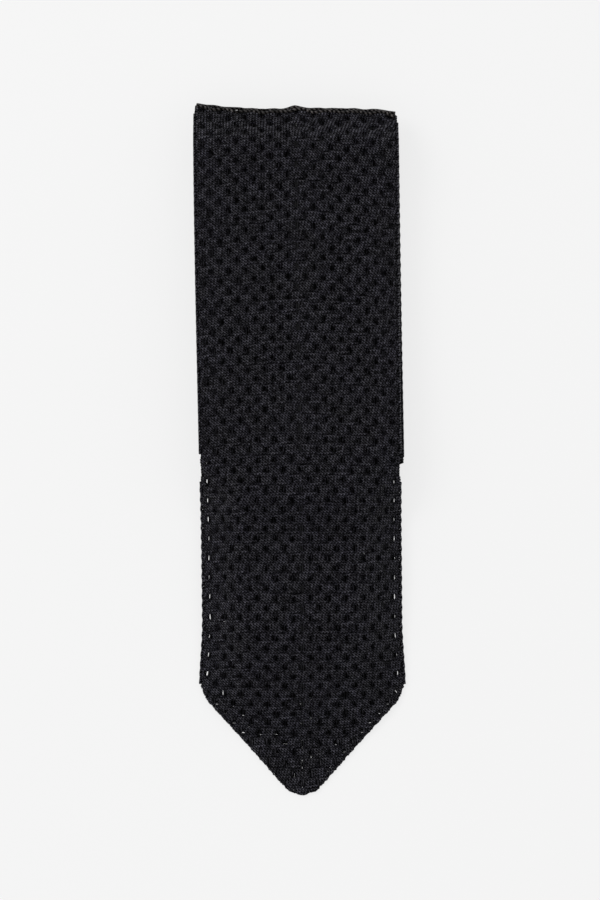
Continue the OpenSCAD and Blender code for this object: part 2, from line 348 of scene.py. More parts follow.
@dataclass
class Station:
    """One cross-section of the folded strip.

    Attributes:
        s: distance along the strip from the point of the blade.
        y, z: the middle of the tie there.
        along: direction of the strip, in the plane x = 0.
        width: flat width of the tie.
        x: sideways place of its middle.
        depth: how far its (left, right) side hangs below the middle.
        held: half-width that the layers below hold up level.
    """

    s: float
    y: float
    z: float
    along: tuple[float, float]
    width: float
    x: float
    depth: tuple[float, float]
    held: float


@dataclass
class FoldedStrip:
    """Where every point of the flat strip lies on the folded tie. Lengths are in metres."""

    wall: float = 0.65 * MM
    step: float = 2.0 * MM
    turn_steps: int = 14
    blade_w: float = 71.0 * MM
    waist_w: float = 69.6 * MM
    shoulder_w: float = 72.0 * MM
    under_w: float = 69.0 * MM
    taper_w: float = 52.0 * MM
    neck_w: float = 34.0 * MM
    tail_start_w: float = 37.0 * MM
    tail_w: float = 45.0 * MM
    lean: float = 2.3 * MM
    under_shift: float = 1.8 * MM
    side_drop: tuple[float, float] = (1.2 * MM, 4.2 * MM)
    crest_wave: tuple = (
        tuple(x * MM for x in (-37.0, -34.0, -28.0, -16.0, -7.0, -1.6, 4.0, 16.0, 30.0, 33.5, 36.0)),
        tuple(y * MM for y in (0.3, 0.2, -0.7, -1.5, -1.6, -0.5, -1.3, -1.4, -1.9, -2.7, -5.0)),
    )
    reach: float = 48.0 * MM
    cell: float = 1.0 * MM
    stations: list[Station] = field(default_factory=list)
    marks: dict[str, float] = field(default_factory=dict)

    def __post_init__(self) -> None:
        """Reads the places of the layers from the frame and lays the strip out."""
        low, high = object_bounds()
        self.tip_y, self.crest_y = low[1], high[1]
        self.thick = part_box("tail_knit")[1][2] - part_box("tail_knit")[0][2]
        self.edge_r = (self.thick - self.wall) / 2
        self.base = {level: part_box(level.value)[0][2] for level in Level}
        self.base[Level.FRONT] = high[2] - self.thick
        self.base[Level.UNDER] = self.base[Level.TAPER] + self.base[Level.NECK_3] - self.base[Level.NECK_4]
        self.top_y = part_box("front_blade_knit")[1][1]
        self.under_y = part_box("under_blade_knit")[0][1]
        self.inner_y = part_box("taper_knit")[1][1]
        self.neck_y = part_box("neck_knit_1")[0][1]
        self.shoulder_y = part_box("blade_tip_hem")[1][1]
        self.tail_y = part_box("tail_tip_hem")[1][1]
        self.tail_tip_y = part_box("tail_knit")[0][1]
        self.crease = (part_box("blade_crease")[0][1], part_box("blade_crease")[1][1])
        self.crest_drop = self.base[Level.UNDER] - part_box("under_blade_knit")[0][2]
        self.neck_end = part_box("neck_fold_1")[0][1]
        self.over_neck = self.base[Level.TAPER]
        self._lay_out()
        self._tabulate()

    # The heights that the strip follows.

    def blade_base(self, y: float) -> float:
        """Underside of the blade's middle at y."""
        front = self.base[Level.FRONT]
        down = 24.0 * MM
        flat = 17.0 * MM
        return float(
            front
            - self.crest_drop * ease((y - self.inner_y) / (self.top_y - self.inner_y))
            - (front - self.over_neck) * ease((self.crease[0] - y) / down)
            - self.over_neck * ease((self.neck_end - y) / (self.neck_end - self.tip_y - flat))
        )

    def blade_depth(self, y: float) -> tuple[float, float]:
        """How far the blade's sides hang below its middle at y."""
        over = self.side_depth(y)
        if y > self.crease[1]:
            return over
        base = self.blade_base(y)
        edge = 2.6 * MM * float(ease((y - self.shoulder_y) / (45.0 * MM)))
        hang = float(ease((self.crease[1] - y) / (22.0 * MM)))
        return tuple(d + (max(base - edge, 0.0) - d) * hang for d in over)

    def side_depth(self, y: float) -> tuple[float, float]:
        """How far the sides of the wide layers on the bundle hang at y."""
        fade = float(ease((self.top_y - y) / (45.0 * MM)))
        rise = float(ease((y - self.under_y + 3.0 * MM) / (55.0 * MM)))
        return tuple(d * fade * (0.08 + 0.92 * rise) for d in self.side_drop)

    def held_at(self, y: float) -> float:
        """Half-width of the narrower layers below a wide one, at y."""
        u = min(max((self.inner_y - y) / (self.inner_y - self.neck_y), 0.0), 1.0)
        return (self.taper_w + (self.neck_w - self.taper_w) * u) / 2

    def width_at(self, y: float) -> float:
        """Width of the blade at y: a little waist where it leaves the neck, and a flare at the shoulders."""
        waist = self.neck_y
        if y > waist:
            u = float(ease((y - waist) / (self.crest_y - waist)))
            return self.waist_w + (self.blade_w - self.waist_w) * u
        u = float(ease((waist - y) / (waist - self.shoulder_y)))
        return self.waist_w + (self.shoulder_w - self.waist_w) * u

    def lean_at(self, y: float) -> float:
        """Sideways place of the blade's middle at y."""
        u = float(ease((self.crest_y - y) / (self.crest_y - self.shoulder_y)))
        return self.lean * (u - 0.5) - 0.1 * MM

    # Laying out.

    def _add(self, y: float, z: float, along: tuple, width: float, x: float, depth: tuple, held: float):
        """Adds a station one step further on."""
        s = 0.0
        if self.stations:
            last = self.stations[-1]
            s = last.s + math.hypot(y - last.y, z - last.z)
        self.stations.append(Station(s, y, z, along, width, x, depth, held))

    def _mark(self, name: str) -> None:
        """Remembers how far along the strip the last station is."""
        self.marks[name] = self.stations[-1].s

    def _turn(self, name: str, side: int, z_from: float, z_to: float, width: float, x: float, depth) -> None:
        """Adds a half-round fold that starts where the strip is now."""
        self._mark(f"{name}_start")
        start = self.stations[-1]
        r = (z_from - z_to) / 2
        middle = (z_from + z_to) / 2
        for i in range(1, self.turn_steps + 1):
            a = math.pi * i / self.turn_steps
            self._add(
                start.y + side * r * math.sin(a),
                middle + r * math.cos(a),
                (side * math.cos(a), -math.sin(a)),
                width,
                x,
                depth,
                start.held,
            )
        self._mark(f"{name}_end")

    def _level_run(self, level: Level, y_to: float, widths: tuple, xs=(0.0, 0.0), wide: bool = False) -> None:
        """Adds one hidden layer from where the strip is now to y_to.

        Args:
            level: the layer.
            y_to: where it ends.
            widths: its flat width at the start and the end.
            xs: sideways place of its middle at the start and the end.
            wide: whether its sides hang over the layers below.
        """
        y_from = self.stations[-1].y
        count = max(2, round(abs(y_to - y_from) / self.step))
        way = 1.0 if y_to > y_from else -1.0
        for i in range(1, count + 1):
            u = i / count
            y = y_from + (y_to - y_from) * u
            z = self.base[level] + self.thick / 2
            slope = 0.0
            if level is Level.UNDER:
                z -= self.crest_drop * float(ease((y - self.inner_y) / (self.top_y - self.inner_y)))
                slope = (z - self.stations[-1].z) / abs(y - self.stations[-1].y)
            norm = math.hypot(1.0, slope)
            self._add(
                y,
                z,
                (way / norm, slope / norm),
                widths[0] + (widths[1] - widths[0]) * u,
                xs[0] + (xs[1] - xs[0]) * u,
                self.side_depth(y) if wide else (0.0, 0.0),
                self.held_at(y) + 1.0 * MM if wide else self.neck_w,
            )

    def _lay_out(self) -> None:
        """Runs the strip from the point of the blade to the point of the tail."""
        half = self.thick / 2
        ys = np.concatenate(
            [
                np.arange(self.tip_y, self.crease[0], self.step),
                np.linspace(self.crease[0], self.crease[1], 6),
                np.arange(self.crease[1] + self.step, self.top_y - self.step / 2, self.step),
                [self.top_y],
            ]
        )
        nudge = 0.2 * MM
        for y in ys:
            slope = (self.blade_base(y + nudge) - self.blade_base(y - nudge)) / (2 * nudge)
            norm = math.hypot(1.0, slope)
            held = self.held_at(y) + 1.0 * MM
            self._add(
                float(y),
                self.blade_base(y) + half,
                (1 / norm, slope / norm),
                self.width_at(y),
                self.lean_at(y),
                self.blade_depth(y),
                held,
            )
            for name, place in (("shoulder", self.shoulder_y), ("crease_start", self.crease[0])):
                if y <= place + 1e-9:
                    self._mark(name)
            if y <= self.crease[1] + 1e-9:
                self._mark("crease_end")
        z = {level: self.base[level] + half for level in Level}
        drop = self.crest_drop
        x0 = self.lean_at(self.top_y)
        self._turn("top", 1, z[Level.FRONT] - drop, z[Level.UNDER] - drop, self.blade_w, x0, (0.0, 0.0))
        x1 = self.under_shift
        self._level_run(Level.UNDER, self.under_y, (self.blade_w, self.under_w), (x0, x1), True)
        sides = self.side_depth(self.under_y)
        self._turn("under", -1, z[Level.UNDER], z[Level.TAPER], self.under_w, x1, sides)
        self._level_run(Level.TAPER, self.inner_y, (self.under_w, self.taper_w), (x1, 0.0), True)
        above = Level.TAPER
        for name, side, level, y_to, widths in (
            ("inner_1", 1, Level.NECK_1, self.neck_y, (self.taper_w, self.neck_w)),
            ("neck_1", -1, Level.NECK_2, self.inner_y, (self.neck_w, self.neck_w)),
            ("inner_2", 1, Level.NECK_3, self.neck_y, (self.neck_w, self.neck_w)),
            ("neck_2", -1, Level.NECK_4, self.inner_y, (self.neck_w, self.tail_start_w)),
            ("inner_3", 1, Level.TAIL, self.tail_y, (self.tail_start_w, self.tail_w)),
        ):
            self._turn(name, side, z[above], z[level], widths[0], 0.0, (0.0, 0.0))
            self._level_run(level, y_to, widths)
            above = level
        self._mark("tail_shoulder")
        self._level_run(Level.TAIL, self.tail_tip_y, (self.tail_w, self.tail_w))
        self._mark("end")

    def _tabulate(self) -> None:
        """Works out where each cell of the flat strip lies and which way its face looks."""
        self.s = np.array([st.s for st in self.stations])
        self.width = np.array([st.width for st in self.stations])
        self.a = np.arange(-self.reach, self.reach + self.cell / 2, self.cell)
        fine = 8 * round(self.reach / self.cell) + 1
        self.at = np.zeros((len(self.s), len(self.a), 3))
        self.out = np.zeros_like(self.at)
        x = np.linspace(-self.reach, self.reach, fine)
        side = (x > 0).astype(int)
        for i, st in enumerate(self.stations):
            half = st.width / 2
            depth = np.array(st.depth)[side]
            z = -depth * ease((np.abs(x) - st.held) / max(half - st.held, 1.0 * MM) * 0.92)
            slope = np.gradient(z, x)
            arc = np.concatenate([[0.0], np.cumsum(np.hypot(np.diff(x), np.diff(z)))])
            arc -= np.interp(0.0, x, arc)
            # The cloth stretches down the slopes, so that its edges stay where the flat width puts them.
            arc *= np.where(x < 0, half / -np.interp(-half, x, arc), half / np.interp(half, x, arc))
            xa, za, ka = (np.interp(self.a, arc, v) for v in (x, z, slope))
            ty, tz = st.along
            self.at[i] = np.stack([st.x + xa, np.full_like(xa, st.y), st.z + za], 1)
            out = np.stack([-ka * ty, np.full_like(ka, -tz), np.full_like(ka, ty)], 1)
            self.out[i] = out / np.linalg.norm(out, axis=1, keepdims=True)

    def place(self, a: np.ndarray, s: np.ndarray, off: np.ndarray) -> tuple[np.ndarray, np.ndarray]:
        """Lays points of the flat strip on the folded tie.

        Args:
            a: distance across the strip from its middle.
            s: distance along it.
            off: height over the middle of the tie's thickness, towards the face.
        Returns:
            The points, and the direction that the face looks there.
        """
        i = np.clip(np.searchsorted(self.s, s) - 1, 0, len(self.s) - 2)
        v = (s - self.s[i]) / (self.s[i + 1] - self.s[i])
        c = np.clip((a + self.reach) / self.cell, 0, len(self.a) - 1.001)
        k = c.astype(int)
        w = c - k
        parts = []
        for table in (self.at, self.out):
            low = table[i, k] * (1 - w)[..., None] + table[i, k + 1] * w[..., None]
            high = table[i + 1, k] * (1 - w)[..., None] + table[i + 1, k + 1] * w[..., None]
            parts.append(low * (1 - v)[..., None] + high * v[..., None])
        out = parts[1] / np.linalg.norm(parts[1], axis=-1, keepdims=True)
        points = parts[0] + out * off[..., None]
        near = ease((points[..., 1] - self.top_y + 14.0 * MM) / (16.0 * MM))
        points[..., 1] += near * np.interp(points[..., 0], *self.crest_wave)
        return points, out

    def s_at(self, y: float, span: tuple[float, float]) -> float:
        """Distance along the strip at which it passes y, within a span of it."""
        inside = [st for st in self.stations if span[0] <= st.s <= span[1]]
        inside.sort(key=lambda st: st.y)
        return float(np.interp(y, [st.y for st in inside], [st.s for st in inside]))

    def half_round(self, s: np.ndarray) -> np.ndarray:
        """Distance across the flat strip from its middle to the crest of its side edge."""
        return np.interp(s, self.s, self.width) / 2 - self.edge_r + math.pi * self.edge_r / 2


# ---------------------------------------------------------------- guide sheets


def guide_sheet(name: str, points, out, u: np.ndarray, s: np.ndarray) -> bpy.types.Object:
    """Makes a guide sheet from a grid of points, with the flat strip as its map.

    Args:
        name: what to call it.
        points: grid of places, rows by columns by 3.
        out: the face's direction at each.
        u: distance round the strip at each.
        s: distance along it at each.
    Returns:
        The guide object, which no render shows.
    """
    rows, columns = u.shape
    index = np.arange(rows * columns).reshape(rows, columns)
    faces = np.stack([index[:-1, :-1], index[:-1, 1:], index[1:, 1:], index[1:, :-1]], -1).reshape(-1, 4)
    mesh = mesh_from(name, points.reshape(-1, 3), faces)
    store(mesh, "out", "FLOAT_VECTOR", out.reshape(-1, 3))
    flat = np.stack([u.ravel() * MAP_SCALE + MAP_MIDDLE, s.ravel() * MAP_SCALE + MAP_START], 1)
    layer = mesh.uv_layers.new(name=GUIDE_MAP)
    layer.data.foreach_set("uv", flat[faces.ravel()].ravel())
    obj = new_object(name, mesh)
    obj.hide_render = True
    return obj


def tube_guide(strip: FoldedStrip) -> bpy.types.Object:
    """Guide for the whole flattened tube: its face, both side edges and its back."""
    face, edge = 40, 8
    r = strip.edge_r
    past = 4.0 * MM
    s = np.concatenate([[-past], strip.s, [strip.s[-1] + past]])[:, None]
    flat_half = np.interp(s, strip.s, strip.width) / 2 - r
    t = np.linspace(0, 1, face + 1)[None, :]
    angle = np.linspace(0, math.pi, edge + 1)[None, 1:-1]
    # One side from the middle of the face round to the seam at the middle of the back.
    a = np.concatenate([flat_half * t, flat_half + r * np.sin(angle), flat_half * (1 - t)], 1)
    level = np.full_like(flat_half * t, r)
    off = np.concatenate([level, r * np.cos(angle) + 0 * s, -level], 1)
    u = np.concatenate([flat_half * t, flat_half + r * angle, flat_half + math.pi * r + flat_half * t], 1)
    a = np.concatenate([-a[:, :0:-1], a], 1)
    u = np.concatenate([-u[:, :0:-1], u], 1)
    off = np.concatenate([off[:, :0:-1], off], 1)
    spread = np.repeat(s, a.shape[1], 1)
    points, out = strip.place(a, spread, off)
    turn = np.sign(u) * np.clip((np.abs(u) - flat_half) / r, 0, math.pi)
    sideways = np.zeros_like(points)
    sideways[..., 0] = 1.0
    facing = out * np.cos(turn)[..., None] + sideways * np.sin(turn)[..., None]
    return guide_sheet("tube_guide", points, facing, u, spread)


@dataclass
class Point:
    """The pointed end of a strip, where the face turns under as a hem.

    Attributes:
        strip: the strip that it ends.
        shoulder: distance along the strip to the shoulders.
        way: 1 if the strip grows towards the point, or -1.
        width: flat width at the shoulders.
        length: from the shoulders to the apex.
        radius: of the rounded apex.
        hem: width of the hem.
        corner: how far the rounding of each shoulder reaches.
    """

    strip: FoldedStrip
    shoulder: float
    way: int
    width: float
    length: float
    radius: float = 4.0 * MM
    hem: float = 8.0 * MM
    corner: float = 4.0 * MM

    def __post_init__(self) -> None:
        """Works out the point's angle and centre lines, taken in by the radius of the turned edge."""
        r = self.strip.edge_r
        sharp = self.length
        for _ in range(6):
            self.angle = math.atan(self.width / 2 / sharp)
            sharp = self.length + self.radius / math.sin(self.angle) - self.radius
        self.apex = sharp - r / math.sin(self.angle) + 1.0 * MM
        self.centre = self.apex - self.radius / math.sin(self.angle)
        self.half = self.width / 2 - r

    def outside(self, u: np.ndarray, t: np.ndarray) -> tuple[np.ndarray, np.ndarray, np.ndarray]:
        """Distance past the turning line, and the outward direction there.

        Args:
            u: distance across the strip.
            t: distance from the shoulders towards the apex.
        Returns:
            The distance, and the direction's parts across and along.
        """
        side = np.where(u < 0, -1.0, 1.0)
        ca, sa = math.cos(self.angle), math.sin(self.angle)
        slanted = np.abs(u) * ca + (t - self.apex) * sa
        nu, nt = side * ca, np.full_like(u, sa)
        ru, rt = u, t - self.centre
        ring = np.hypot(ru, rt)
        cone = (rt > 0) & (np.abs(ru) * sa < rt * ca)
        slanted = np.where(cone, ring - self.radius, slanted)
        nu = np.where(cone, ru / np.maximum(ring, 1e-9), nu)
        nt = np.where(cone, rt / np.maximum(ring, 1e-9), nt)
        straight = np.abs(u) - self.half
        mixed = np.clip(0.5 + 0.5 * (straight - slanted) / self.corner, 0.0, 1.0)
        rounding = np.maximum(self.corner - np.abs(straight - slanted), 0.0) ** 2 / (4 * self.corner)
        nu, nt = nu * (1 - mixed) + side * mixed, nt * (1 - mixed)
        norm = np.maximum(np.hypot(nu, nt), 1e-9)
        return np.maximum(straight, slanted) + rounding, nu / norm, nt / norm

    def guide(self, name: str) -> bpy.types.Object:
        """Guide for the face of the point and the hem that it turns under."""
        r = self.strip.edge_r
        reach = self.width / 2 + self.hem + 3.0 * MM
        cell = 0.7 * MM
        u1 = np.linspace(-reach, reach, 2 * round(reach / cell) + 1)
        t1 = np.arange(-8.0 * MM, self.length + self.hem + 6.0 * MM, cell)
        u, t = np.meshgrid(u1, t1)
        d, nu, nt = self.outside(u, t)
        past = np.maximum(d, 0.0)
        turn = np.clip(past / r, 0.0, math.pi)
        shift = r * np.sin(turn) - np.maximum(past - math.pi * r, 0.0) - past
        a = u + nu * shift
        ta = t + nt * shift
        points, out = self.strip.place(a, self.shoulder + self.way * ta, r * np.cos(turn))
        ahead, _ = self.strip.place(a, self.shoulder + self.way * (ta + 0.1 * MM), r * np.cos(turn))
        forward = ahead - points
        forward /= np.maximum(np.linalg.norm(forward, axis=-1, keepdims=True), 1e-12)
        sideways = np.zeros_like(points)
        sideways[..., 0] = 1.0
        facing = out * np.cos(turn)[..., None]
        facing += (sideways * nu[..., None] + forward * nt[..., None]) * np.sin(turn)[..., None]
        s = self.shoulder + self.way * t
        if self.way < 0:
            points, facing, u, s = points[::-1], facing[::-1], u[::-1], s[::-1]
        return guide_sheet(name, points, facing, u, s)


# ---------------------------------------------------------------- the knit


@dataclass
class Knit:
    """The stitch pattern: bricks of strands, every other row half a brick along, with a hole between bricks.

    Attributes:
        strip: the strip that it covers.
        row: length of one row.
        strands: strands in each brick.
        half_wales: from the middle of the face to the side edge, half bricks.
        drift: how fast the (left, right) bricks of the back leave the face's, in half-wales for each brick.
        closed: how far the first bricks of the odd rows have left them, so that only even rows show light.
        jitter: unevenness of the stitches.
    """

    strip: FoldedStrip
    row: float = ROW
    strands: int = 4
    half_wales: int = 12
    drift: tuple[float, float] = (0.1, 0.15)
    closed: float = 0.4
    jitter: float = 0.07 * MM

    def __post_init__(self) -> None:
        """Sets the wale and makes three grades of stitches: fine, plain, and closed for hems and backs."""
        edge = self.strip.blade_w / 2 - self.strip.edge_r * (1 - math.pi / 2)
        self.half_wale = edge / self.half_wales
        self.patterns = {kind: bpy.data.collections.new(kind) for kind in ("stitch", "ground")}
        self.rng = np.random.default_rng(SEED)
        grades = (
            ((6, 5, 0.0, 0.5), (0.0, 0.3)),
            ((5, 4, 0.6, 0.3), (1.5, 0.1)),
            ((4, 3, 0.9, 0.2), (1.7, 0.06)),
        )
        for grade, (strands, pad) in enumerate(grades):
            for variant in range(3):
                self._brick(f"stitch_{grade}_{variant}", *strands)
                self._ground(f"ground_{grade}_{variant}", *pad)
        self.tree = self._tree()

    def _brick(self, name: str, sides: int, spans: int, wider: float, dip: float) -> None:
        """Makes one brick of strands and adds it to the patterns.

        Args:
            name: of the pattern.
            sides: corners of a strand's section.
            spans: parts that it is bent in.
            wider: how much longer its strands are than the fine one's, in millimetres.
            dip: how far the ends of its strands sink, in millimetres.
        """
        pitch = self.row / self.strands
        points, faces, yarn = [], [], []
        angle = np.linspace(0, 2 * math.pi, sides, endpoint=False) + math.pi / 2
        for n in range(self.strands):
            outer = n in (0, self.strands - 1)
            length = ((6.0 if outer else 4.75) + wider) * MM * (1 + 0.03 * self.rng.standard_normal())
            middle = (n - (self.strands - 1) / 2) * pitch
            tilt = (0.04 if outer else 0.1) + 0.02 * self.rng.standard_normal()
            lift = 0.03 * MM * self.rng.standard_normal()
            bright = self.rng.uniform(0.8, 1.25)
            first = len(points)
            for i in range(spans + 1):
                v = -1 + 2 * i / spans
                size = 1 - 0.35 * abs(v) ** 3
                x = v * length / 2
                y = middle + tilt * x * (1 - 0.3 * abs(v)) + 0.12 * MM * math.sin(2.5 * v + n)
                z = lift + (0.03 - dip * abs(v) ** 2.2) * MM
                for t in angle:
                    yarn.append((x + 0.9 * MM * n, t, bright))
                    points.append((x, y + 0.44 * MM * size * math.cos(t), z + 0.27 * MM * size * math.sin(t)))
            for i in range(spans):
                for k in range(sides):
                    j = (k + 1) % sides
                    ring = first + i * sides
                    faces.append((ring + k, ring + sides + k, ring + sides + j, ring + j))
            last = first + spans * sides
            faces.append([first + k for k in range(sides)])
            faces.append([last + k for k in range(sides)][::-1])
        self._pattern("stitch", name, points, faces, yarn)

    def _ground(self, name: str, wider: float, open_part: float) -> None:
        """Makes the yarn that crosses behind one brick, a thin pad that closes the slits between its strands.

        Args:
            name: of the pattern.
            wider: how much wider it is than the fine one, in millimetres.
            open_part: share of its height in which it is narrow, beside a hole.
        """
        narrow, full, up = (4.6 + wider * 0.8) * MM / 2, 3.0 * MM, self.row / 2 + 0.12 * MM
        points, faces = [], []
        for z in (0.0, -0.16 * MM):
            for w in (-1, -open_part, open_part, 1):
                for v in (-1, -0.4, 0.4, 1):
                    x = v * (full if abs(w) == 1 else narrow)
                    points.append((x, w * up + 0.06 * x, z - 0.1 * MM - 0.2 * MM * v**2))
        for row in range(3):
            for i in range(4 * row, 4 * row + 3):
                faces += [(i, i + 1, i + 5, i + 4), (i + 16, i + 20, i + 21, i + 17)]
        rim = [0, 1, 2, 3, 7, 11, 15, 14, 13, 12, 8, 4]
        faces += [(a, b, b + 16, a + 16) for a, b in zip(rim, rim[1:] + rim[:1])]
        # The pads' brightness of 0.6 is painted shade for the yarn that lies behind the strands.
        self._pattern("ground", name, points, faces, [(p[0], 1.5 * math.pi, 0.6) for p in points])

    def _pattern(self, kind: str, name: str, points: list, faces: list, yarn: list) -> None:
        """Adds one small closed mesh to the patterns of a kind."""
        mesh = mesh_from(name, np.array(points), faces)
        face_outwards(mesh)
        store(mesh, "yarn", "FLOAT_VECTOR", np.array(yarn))
        self.patterns[kind].objects.link(bpy.data.objects.new(name, mesh))

    def _tree(self) -> bpy.types.NodeTree:
        """Builds the tree that sets stitches out on the flat strip and lays them on a guide sheet."""
        tree = bpy.data.node_groups.new("lay_knit", "GeometryNodeTree")
        sockets = tree.interface
        for name, kind in (
            ("Geometry", "Geometry"),
            ("Guide", "Object"),
            ("Stitches", "Collection"),
            ("Grade", "Int"),
            ("Seed", "Int"),
            ("Map scale", "Float"),
            ("Finish", "Material"),
        ):
            sockets.new_socket(name, in_out="INPUT", socket_type=f"NodeSocket{kind}")
        sockets.new_socket("Geometry", in_out="OUTPUT", socket_type="NodeSocketGeometry")
        given = add_node(tree, "NodeGroupInput").outputs
        points = add_node(tree, "GeometryNodeMeshToPoints", {"Mesh": given["Geometry"]})
        bricks = add_node(
            tree,
            "GeometryNodeCollectionInfo",
            {"Collection": given["Stitches"], "Separate Children": True, "Reset Children": True},
        )
        variant = add_node(tree, "FunctionNodeRandomValue", {"Seed": given["Seed"]}, data_type="INT")
        variant.inputs[4].default_value, variant.inputs[5].default_value = 0, 2
        grade = maths(tree, "ADD", given["Grade"], self._stored(tree, "back"))
        spin = add_node(tree, "ShaderNodeCombineXYZ", {"Z": self._stored(tree, "turn")})
        set_out = add_node(
            tree,
            "GeometryNodeInstanceOnPoints",
            {
                "Points": points.outputs[0],
                "Instance": bricks.outputs[0],
                "Pick Instance": True,
                "Instance Index": maths(tree, "MULTIPLY_ADD", grade, 3.0, variant.outputs[2]),
                "Rotation": spin.outputs[0],
            },
        )
        real = add_node(tree, "GeometryNodeRealizeInstances", {"Geometry": set_out.outputs[0]})
        place = add_node(tree, "GeometryNodeInputPosition").outputs[0]
        flat = add_node(tree, "ShaderNodeSeparateXYZ", {0: place}).outputs
        chart = {
            "X": maths(tree, "MULTIPLY_ADD", flat["X"], given["Map scale"], MAP_MIDDLE),
            "Y": maths(tree, "MULTIPLY_ADD", flat["Y"], given["Map scale"], MAP_START),
        }
        where = add_node(tree, "ShaderNodeCombineXYZ", chart)
        guide = add_node(tree, "GeometryNodeObjectInfo", {"Object": given["Guide"]})
        chart = self._stored(tree, GUIDE_MAP, "FLOAT_VECTOR")
        sampled = []
        for value in (place, self._stored(tree, "out", "FLOAT_VECTOR")):
            node = add_node(tree, "GeometryNodeSampleUVSurface", data_type="FLOAT_VECTOR")
            tree.links.new(guide.outputs["Geometry"], node.inputs[0])
            tree.links.new(value, node.inputs["Value"])
            tree.links.new(chart, node.inputs["Source UV Map"])
            tree.links.new(where.outputs[0], node.inputs["Sample UV"])
            sampled.append(node.outputs[0])
        raised = add_node(
            tree,
            "ShaderNodeVectorMath",
            {0: sampled[1], 1: flat["Z"], 2: sampled[0]},
            operation="MULTIPLY_ADD",
        )
        laid = add_node(
            tree, "GeometryNodeSetPosition", {"Geometry": real.outputs[0], "Position": raised.outputs[0]}
        )
        finish = add_node(
            tree, "GeometryNodeSetMaterial", {"Geometry": laid.outputs[0], "Material": given["Finish"]}
        )
        add_node(tree, "NodeGroupOutput", {"Geometry": finish.outputs[0]})
        return tree

    def _stored(self, tree: bpy.types.NodeTree, name: str, kind: str = "FLOAT") -> bpy.types.NodeSocket:
        """Reads a value that is stored on each point."""
        node = add_node(tree, "GeometryNodeInputNamedAttribute", {"Name": name}, data_type=kind)
        return node.outputs["Attribute"]

    def bow(self, s: np.ndarray) -> np.ndarray:
        """How far the courses rise towards the middle, for each unit across, at s."""
        marks = self.strip.marks
        flat = marks["crease_start"] - 25 * MM
        rise = 0.13 * (s - flat) / (marks["top_start"] - flat)
        back = 0.13 * (marks["under_start"] - s) / (marks["under_start"] - marks["top_end"])
        below = 0.05 * (s - flat) / flat
        return np.where(s < flat, below, np.where(s < marks["top_start"], rise, np.clip(back, 0.0, 0.13)))

    def fit(self, s: np.ndarray) -> np.ndarray:
        """How much narrower the wales are where the wide layers draw in."""
        wide = s < self.strip.marks["under_end"]
        return np.where(wide, self.strip.half_round(s) / (self.half_wales * self.half_wale), 1.0)

    def rows(self) -> np.ndarray:
        """Every row of the strip, by number, with some to spare past its ends."""
        return np.arange(-4, math.ceil(self.strip.marks["end"] / self.row) + 4)

    def face(self) -> dict[str, np.ndarray]:
        """Stitches of the face, out to the side edges and as wide again at the points for their hems."""
        k = np.arange(-9, 10)
        j, k = (v.ravel() for v in np.meshgrid(self.rows(), k, indexing="ij"))
        u = self.half_wale * (2 * k + (j % 2))
        s = self.row * (j + 0.5)
        edge = self.strip.half_round(s)
        u = u * self.fit(s)
        slope = self.bow(s)
        s = s + slope * np.maximum(edge - np.abs(u), 0.0)
        return self._finish(u, s, np.arctan(-slope * np.sign(u)), np.zeros_like(u), edge)

    def back(self) -> dict[str, np.ndarray]:
        """Stitches of the back, which drift out of line with those of the face away from the edges."""
        found = []
        for sign, drift in ((-1, self.drift[0]), (1, self.drift[1])):
            k = np.arange(self.half_wales + 1)
            j, k = (v.ravel() for v in np.meshgrid(self.rows(), k, indexing="ij"))
            s = self.row * (j + 0.5)
            shift = np.where(k > 0, np.minimum(drift * k + (self.closed - drift) * (j % 2), 1.0), 0.0)
            a = self.fit(s) * self.half_wale * (self.half_wales - (j % 2) - 2 * k + shift)
            edge = self.strip.half_round(s)
            keep = (a > -1.1 * self.half_wale) & (a < edge - 0.6 * self.half_wale)
            found.append(np.stack([sign * (2 * edge - a), s, edge, a])[:, keep])
        u, s, edge, a = np.concatenate(found, 1)
        data = self._finish(u, s, np.zeros_like(u), np.ones_like(u), edge)
        data["a"] = a
        return data

    def _finish(self, u, s, turn, back, edge) -> dict[str, np.ndarray]:
        """Adds the small unevenness of hand-fed yarn."""
        rng = np.random.default_rng(SEED + int(back[0]))
        return {
            "u": u + self.jitter * rng.standard_normal(len(u)),
            "s": s + self.jitter * rng.standard_normal(len(u)),
            "turn": turn + 0.035 * rng.standard_normal(len(u)),
            "back": back,
            "edge": edge,
        }

    def lay(self, name: str, stitches: list, guide, grade: int, kind: str, finish=Finish.SILK_KNIT):
        """Lays stitches on a guide sheet and bakes them to one mesh.

        Args:
            name: the new object's name.
            stitches: sets of stitches with their place, turn and side.
            guide: the sheet that they follow.
            grade: 0 for fine stitches, 1 for plain ones, 2 for closed ones. The back is one grade up.
            kind: the strands in front, "stitch", or the "ground" behind them.
            finish: what they are made of.
        Returns:
            The knit as a plain mesh object.
        """
        keys = ("u", "s", "turn", "back")
        joined = {key: np.concatenate([part[key] for part in stitches]) for key in keys}
        flat = np.stack([joined["u"], joined["s"], np.zeros_like(joined["u"])], 1)
        mesh = mesh_from(name, flat, [])
        store(mesh, "turn", "FLOAT", joined["turn"])
